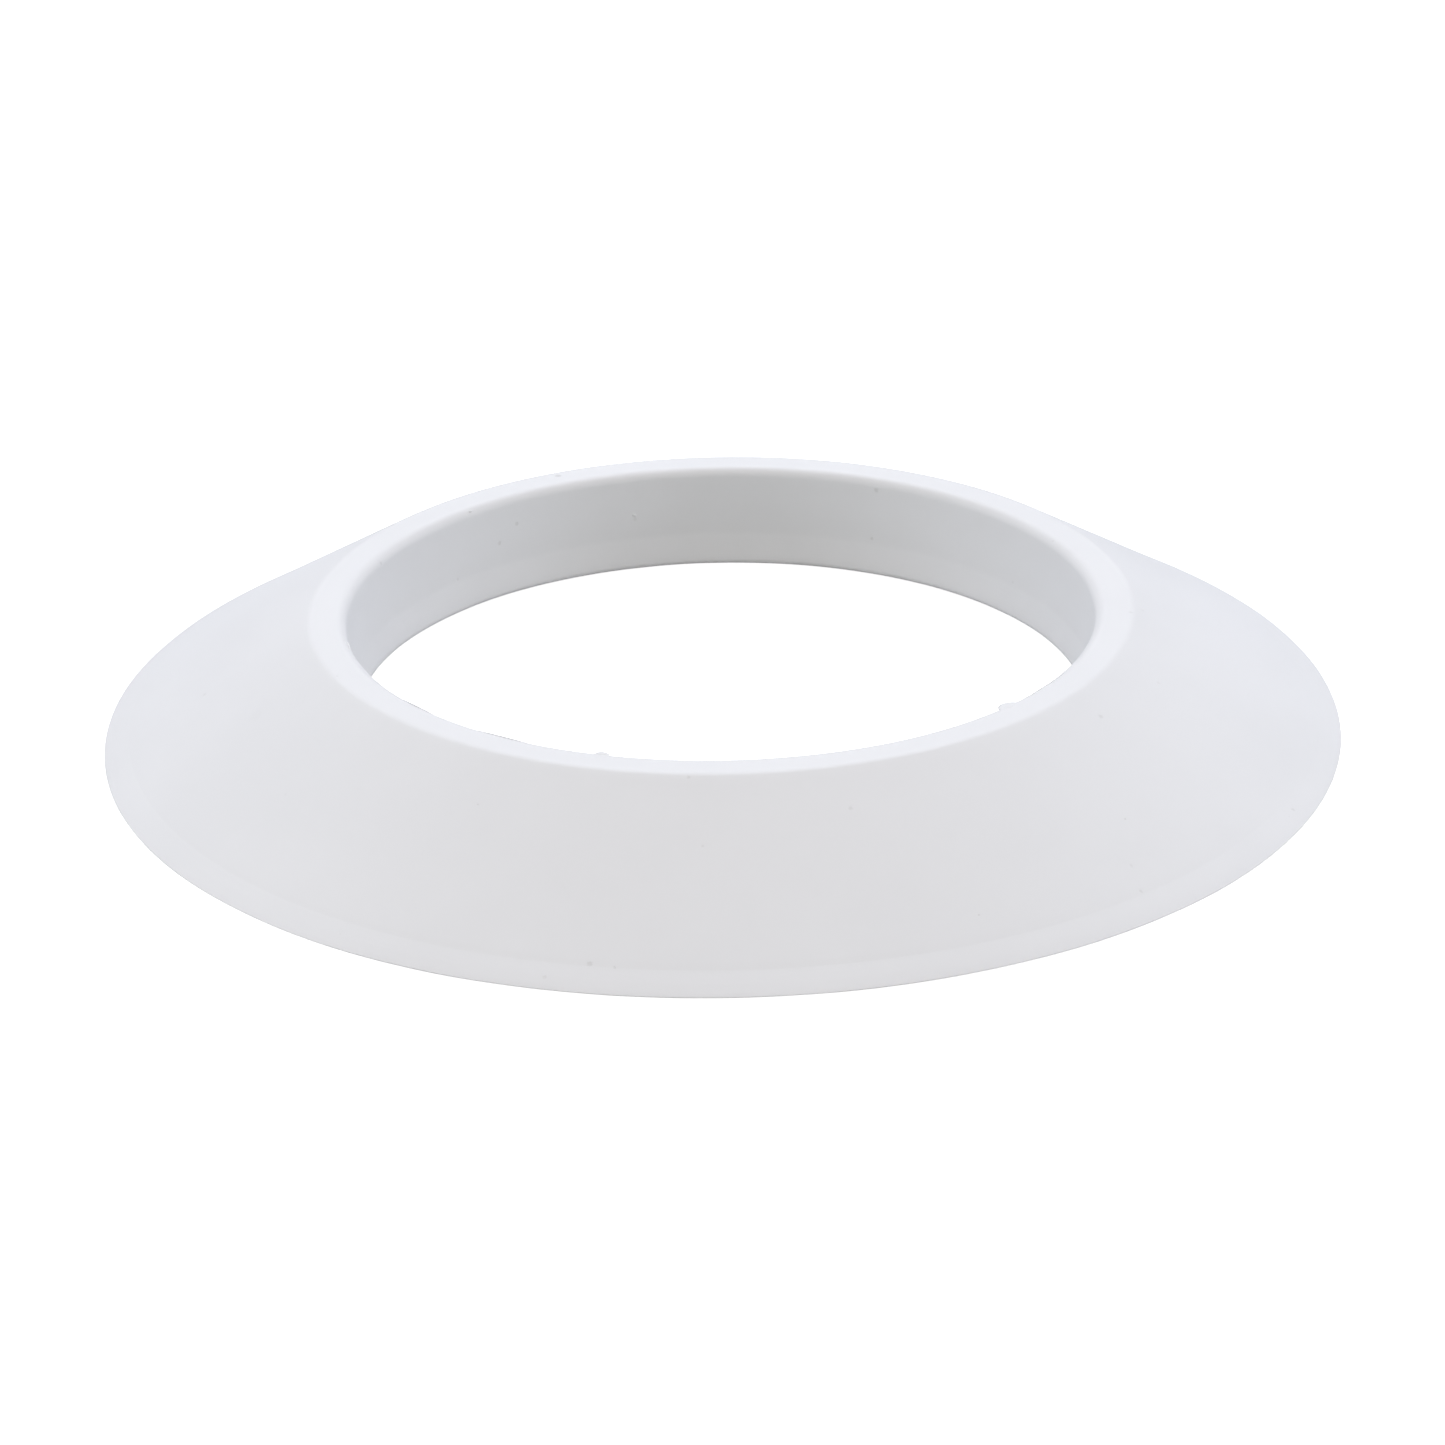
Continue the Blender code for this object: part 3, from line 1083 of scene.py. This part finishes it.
@dataclass
class Studio:
    """A pale floor, soft lights and the camera.

    Args:
        camera_distance, camera_elevation, camera_roll: where it stands, and its tilt.
        lens, sensor_width: its focal length and its sensor's width, in millimetres.
        aim: the point that it looks at.
        floor_size, floor_drop: the floor's side, and how far under the seat it lies.
        floor_colour, floor_roughness: its skin.
        floor_glow: how brightly it shines, towards the camera only.
        sky_colour, sky_strength: the even light from all round.
        lights: the rectangular lights.
    """

    camera_distance: float = 0.667
    camera_elevation: float = math.radians(23.94)
    camera_roll: float = math.radians(-0.983)
    lens: float = 113.4
    sensor_width: float = 36.0
    aim: tuple[float, float, float] = (0.0, 0.0, -0.0010)
    floor_size: float = 30.0
    floor_drop: float = 0.04 * MM
    floor_colour: tuple[float, float, float, float] = (0.60, 0.60, 0.60, 1.0)
    floor_roughness: float = 0.9
    floor_glow: float = 1.0
    sky_colour: tuple[float, float, float, float] = (1.0, 1.0, 1.0, 1.0)
    sky_strength: float = 0.10
    lights: tuple[SoftLight, ...] = (
        SoftLight("top_light", (0.0, 0.0, 1.6), 1.6, 1.6, 9.60, (1.000, 0.891, 0.940)),
        SoftLight("back_light", (0.0, 1.1, 1.1), 1.6, 0.8, 14.07, (0.854, 0.923, 1.000)),
        SoftLight("front_light", (0.0, -1.1, 1.1), 1.6, 0.8, 6.30, (0.996, 1.000, 0.855)),
        SoftLight("left_light", (-1.4, 0.0, 0.55), 1.4, 0.9, 10.86, (0.907, 0.941, 1.000)),
        SoftLight("right_light", (1.4, 0.0, 0.55), 1.4, 0.9, 11.39, (0.885, 0.922, 1.000)),
    )

    def build_floor(self) -> bpy.types.Object:
        """Makes the floor, which isn't part of the collar.

        Returns:
            The floor object.
        """
        half, level = self.floor_size / 2, -self.floor_drop
        mesh = bpy.data.meshes.new("studio_floor")
        corners = [(-half, -half), (half, -half), (half, half), (-half, half)]
        mesh.from_pydata([(x, y, level) for x, y in corners], [], [(0, 1, 2, 3)])
        material = bpy.data.materials.new("studio_floor")
        material.use_nodes = True
        shader = material.node_tree.nodes["Principled BSDF"]
        shader.inputs["Base Color"].default_value = self.floor_colour
        shader.inputs["Roughness"].default_value = self.floor_roughness
        shader.inputs["Specular IOR Level"].default_value = 0.0
        shader.inputs["Emission Color"].default_value = (1.0, 1.0, 1.0, 1.0)
        build = NodeBuilder(material.node_tree)
        seen = build.add("ShaderNodeLightPath").outputs["Is Camera Ray"]
        glow = build.math("MULTIPLY", seen, self.floor_glow)
        build.feed(shader.inputs["Emission Strength"], glow)
        mesh.materials.append(material)
        floor = placed("studio_floor", mesh)
        return floor

    def build_sky(self) -> None:
        """Makes the even light that comes from all round."""
        world = bpy.data.worlds.new("studio_sky")
        world.use_nodes = True
        background = world.node_tree.nodes["Background"]
        background.inputs["Color"].default_value = self.sky_colour
        background.inputs["Strength"].default_value = self.sky_strength
        bpy.context.scene.world = world

    def build_light(self, light: SoftLight) -> bpy.types.Object:
        """Makes one light, turned to face the collar.

        Args:
            light: its place, size and power.

        Returns:
            The light object.
        """
        data = bpy.data.lights.new(light.name, "AREA")
        data.shape = "RECTANGLE"
        data.size = light.width
        data.size_y = light.height
        data.energy = light.power
        data.color = light.colour
        lamp = placed(light.name, data)
        lamp.location = light.place
        lamp.rotation_euler = Vector(light.place).to_track_quat("Z", "Y").to_euler()
        return lamp

    def build_camera(self) -> bpy.types.Object:
        """Makes the camera and gives it to the scene.

        Returns:
            The camera object.
        """
        data = bpy.data.cameras.new("studio_camera")
        data.lens = self.lens
        data.sensor_width = self.sensor_width
        camera = placed("studio_camera", data)
        place = Vector((0.0, -math.cos(self.camera_elevation), math.sin(self.camera_elevation)))
        place *= self.camera_distance
        towards = Vector(self.aim) - place
        turn = towards.to_track_quat("-Z", "Y").to_matrix()
        roll = Matrix.Rotation(self.camera_roll, 3, "Z")
        camera.matrix_world = Matrix.Translation(place) @ (turn @ roll).to_4x4()
        bpy.context.scene.camera = camera
        return camera

    def build(self) -> None:
        """Builds the floor, the sky, the lights and the camera."""
        self.build_floor()
        self.build_sky()
        for light in self.lights:
            self.build_light(light)
        self.build_camera()
        bpy.context.scene.view_settings.view_transform = "Standard"


def main() -> None:
    logging.basicConfig(level=logging.INFO, format="%(name)s: %(message)s")
    Studio().build()
    log.info("studio built")
    low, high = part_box(NODE)
    shop = FinishShop()
    collar = FlangeCollar(base_radius=(high.x - low.x) / 2, height=high.z)
    piece = collar.build(shop.make(SHOW_FACE, SPECKS), shop.make(HIDDEN_FACE))
    log.info("%s: %d faces", piece.name, len(piece.data.polygons))


if __name__ == "__main__":
    main()
